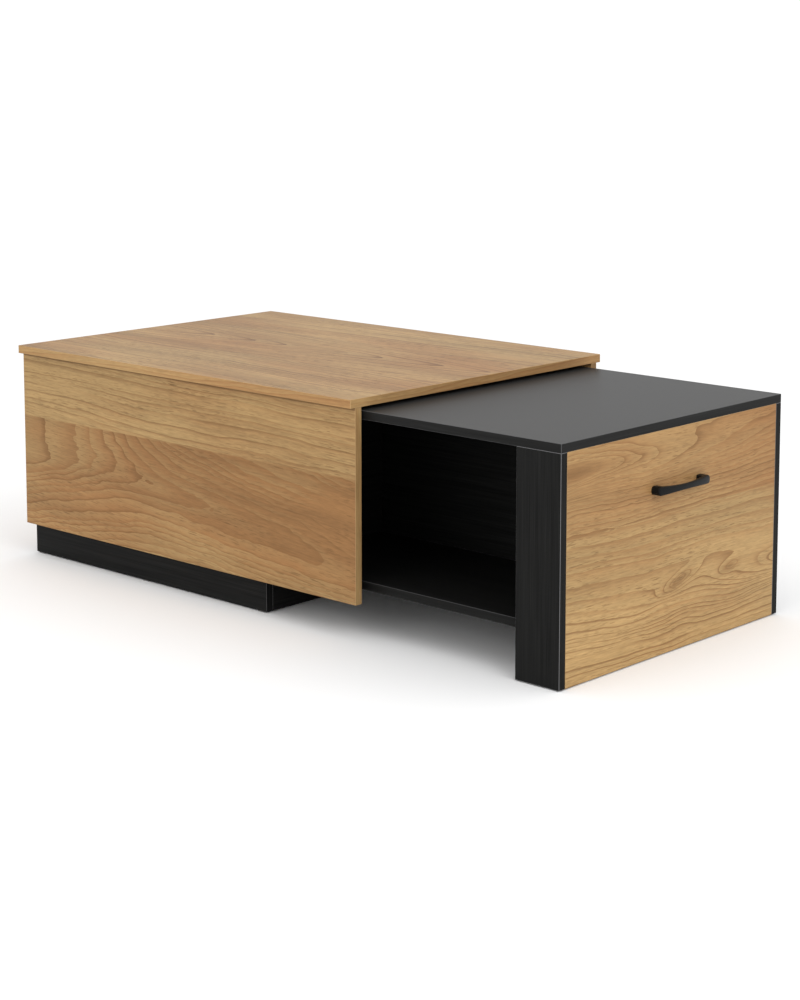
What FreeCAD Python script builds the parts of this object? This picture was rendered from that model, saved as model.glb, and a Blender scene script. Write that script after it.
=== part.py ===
"""Sliding top coffee table: an oak cover box with a black shelf unit that pulls out of one end.

Frame: X along the slide, towards the handle; Y from front to rear; Z up from the floor.
The origin is on the floor, at the middle of the table's whole box with the slide pulled out.
"""
import FreeCAD, Part
import os
import re

import Sketcher

Vector = FreeCAD.Vector

# Driving dimensions in millimetres, one cell of the sheet each.
DRIVING_SIZES = {
    "board": 16.0,                 # every furniture board
    "edge_bevel": 0.6,             # bevel of the edge bands
    "cover_length": 940.0,
    "cover_depth": 710.0,
    "cover_height": 437.0,
    "overhang": 12.0,              # cover board past the long panels
    "panel_rise": 67.0,            # floor to the underside of the long panels
    "floor_gap": 2.0,              # boards that come down to the floor
    "plinth_length": 687.0,
    "plinth_setback": 8.0,         # plinth behind the panel's inner face
    "slide_length": 710.0,
    "slide_travel": 442.0,
    "side_gap": 5.0,               # slide to each long panel
    "top_gap": 7.0,                # slide to the cover board
    "upright_width": 94.0,
    "running_gap": 0.3,            # faces that pass or meet each other
    "fit_gap": 0.1,                # round fittings in their bores
    "biscuit_length": 47.0,
    "biscuit_width": 15.0,
    "biscuit_gauge": 4.0,
    "biscuit_tip": 3.0,            # width of a biscuit's cut-off ends
    "cutter_radius": 50.0,         # disc that cuts the biscuit slots
    "slot_depth": 8.0,
    "joint_inset": 80.0,           # first biscuit from a board's end
    "glide_side": 16.0,
    "block_side": 20.0,            # glue blocks under the floor
    "block_length": 80.0,
    "runner_height": 2.7,
    "runner_width": 16.0,
    "runner_length": 120.0,
    "runner_inset": 40.0,
    "pad_thickness": 4.4,
    "pad_length": 20.0,
    "pad_width": 12.0,
    "guide_height": 60.0,
    "stop_length": 20.0,
    "stop_width": 36.0,
    "stop_height": 5.5,
    "stop_inset": 47.0,            # stop centre from the slide's side
    "catch_length": 12.0,
    "bumper_thickness": 5.0,
    "bumper_side": 12.0,
    "handle_pitch": 128.0,
    "handle_span": 150.0,
    "handle_foot": 18.0,
    "handle_stand": 17.0,
    "handle_rise": 7.0,            # how far the bow stands out past its feet
    "handle_gauge": 7.0,
    "handle_height": 16.0,
    "handle_waist": 10.0,
    "handle_end_radius": 6.8,      # rounding of its ends, seen from the front
    "handle_rim_bevel": 1.8,
    "handle_drop": 101.0,          # handle's middle below the slide top
    "handle_screw_diameter": 4.0,
    "handle_screw_depth": 8.0,
    "handle_screw_head": 2.0,
    "roller_radius": 20.0,
    "roller_width": 14.0,
    "axle_diameter": 6.0,
    "axle_gap": 0.08,              # axle to wheel, all round
    "fork_wall": 3.0,
    "fork_length": 50.0,
    "fork_height": 46.0,
    "fork_foot": 20.0,             # width of a cheek at its lower end
    "fork_rise": 10.0,             # floor to the fork's cheeks
    "fork_flange": 22.0,
    "fork_screw_place": 15.0,      # screws to either side of the axle
    "fork_side_gap": 2.0,          # cheek to wheel
    "fork_end_gap": 5.0,           # fork to end panel
    "screw_diameter": 3.5,
    "screw_length": 12.0,
    "screw_head_height": 2.0,
}

# Lengths that follow from the cells, as words that the expressions below may use.
WORKED_OUT = {
    "handle_reach": "handle_stand + handle_rise",
    "left": "-(cover_length + slide_travel + handle_reach) / 2",
    "cover_right": "left + cover_length",
    "slide_face": "cover_right + slide_travel",
    "slide_back": "slide_face - slide_length",
    "shelf_left": "slide_back + board",
    "shelf_right": "slide_face - board",
    "upright_left": "slide_face - upright_width",
    "floor_right": "cover_right - upright_width - bumper_thickness - running_gap",
    "panel_out": "cover_depth / 2 - overhang",
    "panel_in": "panel_out - board",
    "slide_half": "panel_in - side_gap",
    "slide_in": "slide_half - board",
    "plinth_out": "panel_in - plinth_setback",
    "plinth_in": "plinth_out - board",
    "cover_under": "cover_height - board",
    "floor_top": "panel_rise + board",
    "shelf_low": "floor_top + runner_height + running_gap",
    "shelf_top": "shelf_low + board",
    "slide_high": "cover_under - top_gap",
    "slide_under": "slide_high - board",
    "half_board": "board / 2",
    "handle_level": "slide_under - handle_drop",
    "fork_depth": "roller_width + 2 * fork_side_gap + 2 * fork_wall",
    "roller_place": "shelf_right - fork_end_gap - fork_length / 2",
    "stop_place": "slide_half - stop_inset",
    "stop_left": "slide_back + catch_length + running_gap",
}

AXES = ("x", "y", "z")
DIRECTION = {"x": Vector(1, 0, 0), "y": Vector(0, 1, 0), "z": Vector(0, 0, 1)}
# Origin plane across each axis, and whether its normal runs with the axis.
PLANE_ACROSS = {"x": ("YZ_Plane", 1), "y": ("XZ_Plane", -1), "z": ("XY_Plane", 1)}
# Edges and points nearer than this are taken as one place.
TOUCH = 0.01
# Half the height of a hexagon whose sides are 1.
HALF_HEXAGON = 0.866
# Front and rear pieces are the same piece on either side of the middle plane.
SIDES = (("front", -1), ("rear", 1))

doc = FreeCAD.newDocument("SlidingTopTable")
SHEET = doc.addObject("Spreadsheet::Sheet", "Sizes")


def fill_sheet():
    """Puts the driving dimensions in the sheet, each with its alias."""
    for row, (name, value) in enumerate(DRIVING_SIZES.items(), start=1):
        SHEET.set("A%d" % row, name)
        SHEET.set("B%d" % row, str(value))
        SHEET.setAlias("B%d" % row, name)
    doc.recompute()


def sized(text):
    """Turns a length written in plain words into an expression on the sheet's cells."""
    def spell_out(match):
        word = match.group(0)
        if word in WORKED_OUT:
            return "(" + sized(WORKED_OUT[word]) + ")"
        return "Sizes." + word
    return re.sub("[a-z][a-z_]*", spell_out, str(text))


def measured(text):
    """The present value of a length written in words, worked out by the sheet itself."""
    SHEET.set("D1", "=" + sized(text).replace("Sizes.", ""))
    SHEET.recompute()
    return float(SHEET.get("D1"))


def bind(item, prop, text):
    item.setExpression(prop, sized(text))


def place(item, x="0", y="0", z="0", rotation=None):
    """Puts an object at a point of the table's frame, turned as asked."""
    if rotation is not None:
        item.Placement = FreeCAD.Placement(Vector(0, 0, 0), rotation)
    bind(item, "Placement.Base.x", x)
    bind(item, "Placement.Base.y", y)
    bind(item, "Placement.Base.z", z)


def new_body(label):
    body = doc.addObject("PartDesign::Body", label)
    body.Label = label
    return body


def new_sketch(body, axis, offset="0"):
    """A sketch on the body's origin plane across one axis, moved along that axis."""
    role, normal = PLANE_ACROSS[axis]
    plane = next(item for item in body.Origin.OriginFeatures if item.Role == role)
    sketch = body.newObject("Sketcher::SketchObject", body.Label + "_sketch")
    sketch.AttachmentSupport = [(plane, "")]
    sketch.MapMode = "FlatFace"
    bind(sketch, "AttachmentOffset.Base.z", "%d * (%s)" % (normal, offset))
    return sketch


def fix_point(sketch, geometry, point, across, up):
    """Holds one point of a sketch at its distances from the sketch's origin."""
    drawn = sketch.getPoint(geometry, point)
    for kind, text, start in (("DistanceX", across, drawn.x), ("DistanceY", up, drawn.y)):
        index = sketch.addConstraint(
            Sketcher.Constraint(kind, -1, 1, geometry, point, start))
        bind(sketch, "Constraints[%d]" % index, text)


def draw_outline(sketch, points):
    """A closed outline of straight edges through named points."""
    count = len(points)
    first = sketch.GeometryCount
    for index in range(count):
        start = Vector(10 * index, 10 * (index % 2), 0)
        end = Vector(10 * (index + 1), 10 * ((index + 1) % 2), 0)
        sketch.addGeometry(Part.LineSegment(start, end), False)
    for index in range(count):
        following = first + (index + 1) % count
        sketch.addConstraint(Sketcher.Constraint("Coincident", first + index, 2, following, 1))
    for index, (across, up) in enumerate(points):
        fix_point(sketch, first + index, 1, across, up)


def draw_rectangle(sketch, left, low, right, high):
    draw_outline(sketch, [(left, low), (right, low), (right, high), (left, high)])


def draw_circle(sketch, across, up, diameter):
    index = sketch.addGeometry(Part.Circle(Vector(10, 10, 0), Vector(0, 0, 1), 2.0), False)
    fix_point(sketch, index, 3, across, up)
    size = sketch.addConstraint(Sketcher.Constraint("Diameter", index, 4.0))
    bind(sketch, "Constraints[%d]" % size, diameter)


def pad(body, sketch, axis, length, midplane=False):
    """Grows a sketch along the positive axis, or both ways from its plane."""
    feature = body.newObject("PartDesign::Pad", body.Label + "_pad")
    feature.Profile = sketch
    bind(feature, "Length", length)
    feature.Midplane = midplane
    feature.Reversed = not midplane and PLANE_ACROSS[axis][1] < 0
    return feature


def pocket(body, sketch, axis, inward, depth, midplane=False):
    """Cuts a sketch into the body, inward along the axis (1) or against it (-1)."""
    feature = body.newObject("PartDesign::Pocket", body.Label + "_pocket")
    feature.Profile = sketch
    bind(feature, "Length", depth)
    feature.Midplane = midplane
    feature.Reversed = not midplane and inward == PLANE_ACROSS[axis][1]
    return feature


def revolve(body, points):
    """Turns an outline of (radius, height) points about the body's own Z axis."""
    sketch = new_sketch(body, "y")
    draw_outline(sketch, points)
    feature = body.newObject("PartDesign::Revolution", body.Label + "_turned")
    feature.Profile = sketch
    feature.ReferenceAxis = (sketch, ["V_Axis"])
    feature.Angle = 360.0
    return feature


def bevel_edges(body, base, edges, size):
    """Chamfers the named edges of a feature."""
    feature = body.newObject("PartDesign::Chamfer", body.Label + "_bevel")
    feature.Base = (base, edges)
    bind(feature, "Size", size)
    return feature


def edges_where(feature, wanted):
    """Names of a feature's edges that pass a test."""
    doc.recompute()
    return ["Edge%d" % number for number, edge in enumerate(feature.Shape.Edges, start=1)
            if wanted(edge)]


# ---------------------------------------------------------------- boards

BOX_EDGES = ["Edge%d" % number for number in range(1, 13)]
BOARDS = {}


def board(label, thin, corner, length, width):
    """A furniture board: thin names the axis across its faces, corner its lowest corner."""
    body = new_body(label)
    sketch = new_sketch(body, thin)
    draw_rectangle(sketch, "0", "0", length, width)
    block = pad(body, sketch, thin, "board")
    bevel_edges(body, block, BOX_EDGES, "edge_bevel")
    place(body, *corner)
    BOARDS[label] = {"body": body, "corner": dict(zip(AXES, corner))}
    return body


def bore(label, axis, mouth, inward, points, diameter, depth):
    """Blind round bores in a board, placed in the table's frame.

    axis is the bore's direction and mouth where it starts on it; each point gives the other two
    coordinates as a dictionary.
    """
    body, corner = BOARDS[label]["body"], BOARDS[label]["corner"]
    sketch = new_sketch(body, axis, "(%s) - (%s)" % (mouth, corner[axis]))
    across, up = [name for name in AXES if name != axis]
    for point in points:
        draw_circle(sketch, "(%s) - (%s)" % (point[across], corner[across]),
                    "(%s) - (%s)" % (point[up], corner[up]), diameter)
    pocket(body, sketch, axis, inward, depth)


def make_cover_boards():
    """The box that stays: top, two long panels, left end, floor."""
    board("cover_top", "z", ("left", "-cover_depth / 2", "cover_under"),
          "cover_length", "cover_depth")
    for side, sign in SIDES:
        outer = "-panel_out" if sign < 0 else "panel_in"
        board("cover_%s_panel" % side, "y", ("left", outer, "panel_rise"),
              "cover_length", "cover_under - panel_rise")
    board("cover_left_end", "x", ("left", "-panel_in", "panel_rise"),
          "2 * panel_in", "cover_under - panel_rise")
    board("cover_floor", "z", ("left + board", "-panel_in", "panel_rise"),
          "floor_right - left - board", "2 * panel_in")


PLINTH_CROSSES = {
    "plinth_left_cross": "left",
    "plinth_middle_cross": "left + (plinth_length - board) / 2",
    "plinth_right_cross": "left + plinth_length - board",
}


def make_plinth_boards():
    """The recessed base frame: two long boards with three cross boards between them."""
    for side, sign in SIDES:
        outer = "-plinth_out" if sign < 0 else "plinth_in"
        board("plinth_%s" % side, "y", ("left", outer, "floor_gap"),
              "plinth_length", "panel_rise - floor_gap")
    for label, across in PLINTH_CROSSES.items():
        board(label, "x", (across, "-plinth_in", "floor_gap"),
              "2 * plinth_in", "panel_rise - floor_gap")


def make_slide_boards():
    """The unit that pulls out: top, shelf, partition, two ends and two uprights."""
    board("slide_top", "z", ("slide_back", "-slide_half", "slide_under"),
          "slide_length", "2 * slide_half")
    board("slide_shelf", "z", ("shelf_left", "-slide_in", "shelf_low"),
          "shelf_right - shelf_left", "2 * slide_in")
    board("slide_partition", "y", ("shelf_left", "-half_board", "shelf_top"),
          "shelf_right - shelf_left", "slide_under - shelf_top")
    board("slide_inner_end", "x", ("slide_back", "-slide_half", "shelf_low"),
          "2 * slide_half", "slide_under - shelf_low")
    board("slide_end_panel", "x", ("shelf_right", "-slide_in", "floor_gap"),
          "2 * slide_in", "slide_under - floor_gap")
    for side, sign in SIDES:
        outer = "-slide_half" if sign < 0 else "slide_in"
        board("slide_%s_upright" % side, "y", ("upright_left", outer, "floor_gap"),
              "upright_width", "slide_under - floor_gap")


# ---------------------------------------------------------------- copies

GROUPS = {}


def add_copy(group, pattern, point, rotation):
    """One more copy of a pattern piece in a group of like pieces."""
    link = doc.addObject("App::Link", group + "_copy")
    link.LinkedObject = pattern
    link.LinkTransform = False
    place(link, point["x"], point["y"], point["z"], rotation)
    GROUPS.setdefault(group, []).append(link)


def facing(direction):
    return FreeCAD.Rotation(Vector(0, 0, 1), direction)


def mirrored(text, sign):
    return "%d * (%s)" % (sign, text)


def block_pattern(label, length, width, height, bevel="edge_bevel"):
    """A block standing on z = 0 with its upper edges bevelled, centred in x and y."""
    body = new_body(label)
    sketch = new_sketch(body, "z")
    draw_rectangle(sketch, "-(%s) / 2" % length, "-(%s) / 2" % width,
                   "(%s) / 2" % length, "(%s) / 2" % width)
    block = pad(body, sketch, "z", height)
    bevel_edges(body, block, edges_where(block, lambda edge: edge.BoundBox.ZMin > TOUCH), bevel)
    return body


# ---------------------------------------------------------------- biscuit joints

def make_biscuit_pattern():
    """Pressed beech biscuit: two arcs with cut-off tips, lying flat and centred."""
    body = new_body("biscuit_pattern")
    sketch = new_sketch(body, "z")
    half, tip = "biscuit_length / 2", "biscuit_tip / 2"
    corners = [("-" + half, "-" + tip), (half, "-" + tip), (half, tip), ("-" + half, tip)]
    bulge = "(biscuit_width - biscuit_tip) / 2"
    close_outline(sketch, [
        draw_arc(sketch, corners[0], ("0", "-biscuit_width / 2"), corners[1], half, bulge),
        draw_line(sketch, corners[1], corners[2]),
        draw_arc(sketch, corners[2], ("0", "biscuit_width / 2"), corners[3], half, bulge),
        draw_line(sketch, corners[3], corners[0]),
    ], corners)
    pad(body, sketch, "z", "biscuit_gauge - 2 * fit_gap", midplane=True)
    return body


def biscuit_joint(group, edge_board, face_board, axis, sign, seam, thin, middle, places):
    """Biscuits across the seam between one board's edge and another board's face.

    axis crosses the seam and sign points from the edge board into the face board; thin names the
    axis of the edge board's thickness and middle its middle; places lie along the third axis.
    """
    along = next(name for name in AXES if name not in (axis, thin))
    across, up = [name for name in AXES if name != thin]
    for label, hand in ((edge_board, sign), (face_board, -sign)):
        body, corner = BOARDS[label]["body"], BOARDS[label]["corner"]
        slots = new_sketch(body, thin,
                           "(%s) - biscuit_gauge / 2 - (%s)" % (middle, corner[thin]))
        for spot in places:
            centre = {along: spot, axis: "(%s) + %d * (cutter_radius - slot_depth)" % (seam, hand)}
            draw_circle(slots, "(%s) - (%s)" % (centre[across], corner[across]),
                        "(%s) - (%s)" % (centre[up], corner[up]), "2 * cutter_radius")
        pocket(body, slots, thin, 1, "biscuit_gauge")
    flat, length = DIRECTION[thin], DIRECTION[along]
    turn = FreeCAD.Rotation(length, flat.cross(length), flat, "ZXY")
    for spot in places:
        add_copy(group, PATTERNS["biscuit"], {along: spot, axis: seam, thin: middle}, turn)


def join_cover():
    """Biscuits that hold the cover box together."""
    for side, sign in SIDES:
        panel = "cover_%s_panel" % side
        inner = mirrored("panel_in", sign)
        biscuit_joint("cover_biscuits", panel, "cover_top", "z", 1, "cover_under", "y",
                      mirrored("panel_in + half_board", sign),
                      ("left + joint_inset", "left + cover_length / 2",
                       "cover_right - joint_inset"))
        biscuit_joint("cover_biscuits", "cover_left_end", panel, "y", sign, inner, "x",
                      "left + half_board", ("floor_top + joint_inset", "cover_under - joint_inset"))
        biscuit_joint("cover_biscuits", "cover_floor", panel, "y", sign, inner, "z",
                      "panel_rise + half_board",
                      ("left + 2 * joint_inset", "floor_right - joint_inset"))
    across = ("-panel_in / 2", "panel_in / 2")
    biscuit_joint("cover_biscuits", "cover_left_end", "cover_top", "z", 1, "cover_under", "x",
                  "left + half_board", across)
    biscuit_joint("cover_biscuits", "cover_floor", "cover_left_end", "x", -1, "left + board", "z",
                  "panel_rise + half_board", across)


def join_plinth():
    """One upright biscuit in each of the plinth's corners."""
    for side, sign in SIDES:
        for label, across in PLINTH_CROSSES.items():
            biscuit_joint("plinth_biscuits", label, "plinth_" + side, "y", sign,
                          mirrored("plinth_in", sign), "x", across + " + half_board",
                          ["(floor_gap + panel_rise) / 2"])


def join_slide():
    """Biscuits that hold the slide together."""
    for side, sign in SIDES:
        upright = "slide_%s_upright" % side
        inner = mirrored("slide_in", sign)
        biscuit_joint("slide_biscuits", "slide_end_panel", upright, "y", sign, inner, "x",
                      "shelf_right + half_board",
                      ("shelf_top + joint_inset", "slide_under - joint_inset"))
        biscuit_joint("slide_biscuits", upright, "slide_top", "z", 1, "slide_under", "y",
                      mirrored("slide_in + half_board", sign),
                      ["upright_left + upright_width / 2"])
    near = ("-slide_half / 2", "slide_half / 2")
    for end, place_x, seam, sign in (
            ("slide_inner_end", "slide_back + half_board", "shelf_left", -1),
            ("slide_end_panel", "shelf_right + half_board", "shelf_right", 1)):
        biscuit_joint("slide_biscuits", end, "slide_top", "z", 1, "slide_under", "x", place_x, near)
        biscuit_joint("slide_biscuits", "slide_shelf", end, "x", sign, seam, "z",
                      "shelf_low + half_board", near)
    along = ("shelf_left + joint_inset", "shelf_right - joint_inset")
    for level, board_label, sign in (("slide_under", "slide_top", 1),
                                     ("shelf_top", "slide_shelf", -1)):
        biscuit_joint("slide_biscuits", "slide_partition", board_label, "z", sign, level, "y",
                      "0", along)


# ---------------------------------------------------------------- glides, guides and stops

def make_glides():
    """Square felt glides under the plinth and nylon runners under the slide's inner end."""
    flat = FreeCAD.Rotation()
    upside_down = FreeCAD.Rotation(Vector(1, 0, 0), 180)
    foot = block_pattern("glide_pattern", "glide_side", "glide_side - 2 * edge_bevel",
                         "floor_gap", "edge_bevel / 2")
    along = ("left + glide_side", "left + plinth_length / 2", "left + plinth_length - glide_side")
    runner = block_pattern("runner_pattern", "runner_length", "runner_width", "runner_height")
    block = block_pattern("glue_block_pattern", "block_length", "block_side", "block_side")
    for side, sign in SIDES:
        for x in along:
            add_copy("plinth_glides", foot,
                     {"x": x, "y": mirrored("plinth_in + half_board", sign), "z": "floor_gap"},
                     upside_down)
        add_copy("slide_runners", runner,
                 {"x": "shelf_left + runner_length / 2 + edge_bevel",
                  "y": mirrored("slide_in - runner_inset", sign), "z": "shelf_low"}, upside_down)
        for x in ("left + plinth_length / 4", "left + plinth_length * 3 / 4"):
            add_copy("plinth_glue_blocks", block,
                     {"x": x, "y": mirrored("plinth_in - block_side / 2", sign), "z": "panel_rise"},
                     upside_down)


def make_guides():
    """Nylon pads that keep the slide in the middle of the cover."""
    fixed = block_pattern("cover_guide_pattern", "pad_length", "pad_width", "pad_thickness")
    moving = block_pattern("slide_guide_pattern", "pad_width", "guide_height", "pad_thickness")
    for side, sign in SIDES:
        inward = FreeCAD.Rotation(Vector(1, 0, 0), Vector(0, 0, sign), Vector(0, -sign, 0), "ZXY")
        outward = FreeCAD.Rotation(Vector(1, 0, 0), Vector(0, 0, -sign), Vector(0, sign, 0), "ZXY")
        add_copy("cover_guide_pads", fixed,
                 {"x": "cover_right - pad_length", "y": mirrored("panel_in", sign),
                  "z": "slide_under + half_board"}, inward)
        add_copy("slide_guide_pads", moving,
                 {"x": "slide_back + half_board", "y": mirrored("slide_half", sign),
                  "z": "(shelf_low + slide_under) / 2"}, outward)


def make_stops():
    """Glued blocks that end the travel outwards, and rubber buffers that end it inwards."""
    stop = block_pattern("stop_pattern", "stop_length", "stop_width", "stop_height")
    catch = block_pattern("catch_pattern", "catch_length", "stop_width", "stop_height")
    bumper = block_pattern("bumper_pattern", "bumper_side", "bumper_side", "bumper_thickness")
    down, up = FreeCAD.Rotation(Vector(1, 0, 0), 180), FreeCAD.Rotation()
    for side, sign in SIDES:
        middle = mirrored("stop_place", sign)
        add_copy("travel_stops", stop,
                 {"x": "stop_left + stop_length / 2", "y": middle, "z": "cover_under"}, down)
        add_copy("slide_catches", catch,
                 {"x": "slide_back + catch_length / 2", "y": middle, "z": "slide_high"}, up)
        add_copy("closing_bumpers", bumper,
                 {"x": "floor_right", "y": mirrored("slide_in + half_board", sign),
                  "z": "panel_rise + half_board"}, facing(Vector(1, 0, 0)))


# ---------------------------------------------------------------- handle

def make_handle():
    """Cast bow handle: two feet, a bow that rises between them and a waist in the middle."""
    body = new_body("handle")
    sketch = new_sketch(body, "z")
    draw_bow(sketch)
    bow = pad(body, sketch, "z", "handle_height", midplane=True)
    ends = body.newObject("PartDesign::Fillet", "handle_ends")
    ends.Base = (bow, edges_where(bow, lambda edge: is_level_end(edge, measured("handle_span"))))
    bind(ends, "Radius", "handle_end_radius")
    waist = new_sketch(body, "x")
    for sign in (1, -1):
        draw_waist(waist, sign)
    cut = pocket(body, waist, "x", 1, "handle_span", midplane=True)
    front = measured("handle_stand") - TOUCH
    rim = edges_where(cut, lambda edge: edge.BoundBox.XMin > front)
    bevel_edges(body, cut, rim, "handle_rim_bevel")
    drill = new_sketch(body, "x")
    for sign in (1, -1):
        draw_circle(drill, "%d * handle_pitch / 2" % sign, "0", "handle_screw_diameter")
    pocket(body, drill, "x", 1, "handle_screw_depth")
    place(body, "slide_face", "0", "handle_level")
    SINGLES.append(body)


def is_level_end(edge, span):
    """An edge that runs straight out from the board at either end of the handle."""
    box = edge.BoundBox
    return box.YLength < TOUCH and box.ZLength < TOUCH and abs(box.YMin) > span / 2 - TOUCH


def draw_arc(sketch, begin, top, end, half, rise):
    """An arc that bulges by rise over a chord of twice half; returns its ends as travelled."""
    places = [Vector(measured(across), measured(up), 0) for across, up in (begin, top, end)]
    chord, bulge = places[2] - places[0], places[1] - places[0]
    backwards = chord.cross(bulge).z > 0
    if backwards:
        places.reverse()
    index = sketch.addGeometry(Part.Arc(*places), False)
    radius = "((%s) * (%s) + (%s) * (%s)) / (2 * (%s))" % (half, half, rise, rise, rise)
    size = sketch.addConstraint(Sketcher.Constraint("Radius", index, measured(radius)))
    bind(sketch, "Constraints[%d]" % size, radius)
    return (index, 2, 1) if backwards else (index, 1, 2)


def draw_line(sketch, begin, end):
    places = [Vector(measured(across), measured(up), 0) for across, up in (begin, end)]
    return (sketch.addGeometry(Part.LineSegment(*places), False), 1, 2)


def close_outline(sketch, edges, corners):
    """Joins edges end to end and holds each corner where it belongs."""
    for index, (geometry, begin, end) in enumerate(edges):
        following, next_begin, next_end = edges[(index + 1) % len(edges)]
        sketch.addConstraint(
            Sketcher.Constraint("Coincident", geometry, end, following, next_begin))
    for (geometry, begin, end), (across, up) in zip(edges, corners):
        fix_point(sketch, geometry, begin, across, up)


def draw_bow(sketch):
    """The handle from above: feet on the board, a bow of even thickness between them."""
    half, foot = "handle_span / 2", "(handle_span / 2 - handle_foot)"
    inner_stand = "handle_stand - handle_gauge"
    corners = [("0", half), ("handle_stand", half), ("handle_stand", "-" + half),
               ("0", "-" + half), ("0", "-" + foot), (inner_stand, "-" + foot),
               (inner_stand, foot), ("0", foot)]
    tops = {1: ("handle_stand + handle_rise", half), 5: (inner_stand + " + handle_rise", foot)}
    edges = []
    for index, corner in enumerate(corners):
        following = corners[(index + 1) % len(corners)]
        if index in tops:
            reach, chord_half = tops[index]
            edges.append(draw_arc(sketch, corner, (reach, "0"), following,
                                  chord_half, "handle_rise"))
        else:
            edges.append(draw_line(sketch, corner, following))
    close_outline(sketch, edges, corners)


def draw_waist(sketch, sign):
    """What is cut away above (1) or below (-1) the handle's waist, seen from the front."""
    half, dip = "(handle_span / 2 - handle_end_radius)", "(handle_height - handle_waist) / 2"
    rim, outside = "%d * handle_height / 2" % sign, "%d * handle_height" % sign
    corners = [("-" + half, rim), (half, rim), (half, outside), ("-" + half, outside)]
    edges = [draw_arc(sketch, corners[0], ("0", "%d * handle_waist / 2" % sign), corners[1],
                      half, dip)]
    for index in (1, 2, 3):
        edges.append(draw_line(sketch, corners[index], corners[(index + 1) % 4]))
    close_outline(sketch, edges, corners)


def make_handle_screws():
    """Machine screws from inside the end panel into the handle's feet."""
    body = new_body("handle_screw_pattern")
    shank, head = "handle_screw_diameter / 2 - fit_gap", "handle_screw_diameter"
    tip = "board + handle_screw_depth - running_gap"
    revolve(body, [("0", "-handle_screw_head"), (head, "-handle_screw_head"), (head, "0"),
                   (shank, "0"), (shank, tip), ("0", tip)])
    points = [{"x": "shelf_right", "y": mirrored("handle_pitch / 2", sign), "z": "handle_level"}
              for sign in (-1, 1)]
    bore("slide_end_panel", "x", "shelf_right", 1, points,
         "handle_screw_diameter + 2 * fit_gap", "2 * board")
    for point in points:
        add_copy("handle_screws", body, point, facing(Vector(1, 0, 0)))


# ---------------------------------------------------------------- rollers

def make_screw_pattern():
    """Hexagon-head wood screw, head above z = 0 and shank below."""
    body = new_body("screw_pattern")
    head = new_sketch(body, "z")
    side, height = "screw_diameter / 2", "screw_diameter * %s" % HALF_HEXAGON
    draw_outline(head, [("screw_diameter", "0"), (side, height), ("-" + side, height),
                        ("-screw_diameter", "0"), ("-" + side, "-" + height),
                        (side, "-" + height)])
    pad(body, head, "z", "screw_head_height")
    shank = new_sketch(body, "z", "-screw_length")
    draw_circle(shank, "0", "0", "screw_diameter - 2 * fit_gap")
    pad(body, shank, "z", "screw_length")
    return body


def screws(group, label, axis, sign, seat, under_head, points):
    """Screws driven along axis into a board, heads on a piece of thickness under_head."""
    seated = [dict(point, **{axis: seat}) for point in points]
    bore(label, axis, seat, sign, seated, "screw_diameter",
         "screw_length - (%s) + running_gap" % under_head)
    for point in seated:
        head = dict(point, **{axis: "(%s) + %d * (%s)" % (seat, -sign, under_head)})
        add_copy(group, PATTERNS["screw"], head, facing(DIRECTION[axis] * -sign))


def make_fork_pattern():
    """Moulded fork: a flange for its screws, two cheeks that taper down to the axle."""
    body = new_body("fork_pattern")
    section = new_sketch(body, "x", "-fork_length / 2")
    crown, inner = "fork_height - fork_wall", "fork_depth - fork_wall"
    draw_outline(section, [
        ("0", "fork_rise"), ("fork_wall", "fork_rise"), ("fork_wall", crown), (inner, crown),
        (inner, "fork_rise"), ("fork_depth", "fork_rise"), ("fork_depth", "fork_height"),
        ("fork_wall", "fork_height"), ("fork_wall", "fork_height + fork_flange"),
        ("0", "fork_height + fork_flange"),
    ])
    pad(body, section, "x", "fork_length")
    taper = new_sketch(body, "y", "-fork_wall")
    shoulder = "fork_height - 2 * fork_wall"
    for hand in (-1, 1):
        foot = mirrored("fork_foot / 2", hand)
        draw_outline(taper, [
            (mirrored("fork_length", hand), "0"), (foot, "0"), (foot, "fork_rise"),
            (mirrored("fork_length / 2", hand), shoulder),
            (mirrored("fork_length", hand), shoulder),
        ])
    pocket(body, taper, "y", 1, "2 * fork_depth")
    eye = new_sketch(body, "y", "-fork_wall")
    draw_circle(eye, "0", "roller_radius", "axle_diameter + 2 * fit_gap")
    pocket(body, eye, "y", 1, "2 * fork_depth")
    fixing = new_sketch(body, "y", "-fork_wall")
    for hand in (-1, 1):
        draw_circle(fixing, mirrored("fork_screw_place", hand), "fork_height + fork_flange / 2",
                    "screw_diameter + 2 * fit_gap")
    pocket(body, fixing, "y", 1, "3 * fork_wall")
    return body


def make_axle_pattern():
    """Plain steel pin, pressed through both cheeks of a fork, centred on its length."""
    body = new_body("axle_pattern")
    sketch = new_sketch(body, "z")
    draw_circle(sketch, "0", "0", "axle_diameter")
    pad(body, sketch, "z", "fork_depth - 2 * running_gap", midplane=True)
    return body


def make_wheel(side):
    """One-piece nylon wheel."""
    body = new_body("roller_wheel_" + side)
    flat, eye = "roller_width / 2", "axle_diameter / 2 + axle_gap"
    revolve(body, [(eye, "-" + flat), ("roller_radius", "-" + flat), ("roller_radius", flat),
                   (eye, flat)])
    return body


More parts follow.
